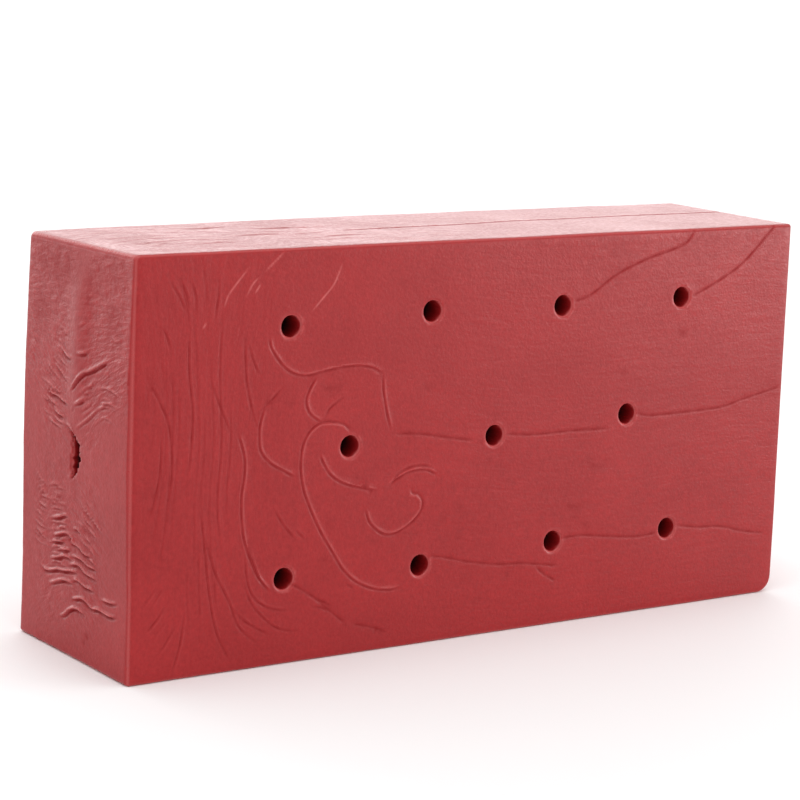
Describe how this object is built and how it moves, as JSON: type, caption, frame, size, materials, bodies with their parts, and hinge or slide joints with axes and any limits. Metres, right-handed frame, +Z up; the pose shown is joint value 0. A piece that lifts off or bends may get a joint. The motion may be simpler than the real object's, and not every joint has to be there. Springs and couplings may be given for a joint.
{
  "type": "clay bar",
  "caption": "Rectangular block of kneadable detailing clay, pierced by staggered rows of small round holes, rubbed over wet paint to lift grime.",
  "frame": {"origin": "middle of the base face that the block stands on", "axes": "+X along its length towards the far end, away from the gate tear; +Y through its depth towards the back; +Z up"},
  "size_m": [0.1, 0.026, 0.05],
  "materials": {
    "clay": "matte"
  },
  "bodies": {
    "root": {"clay_block": "clay"}
  },
  "joints": []
}
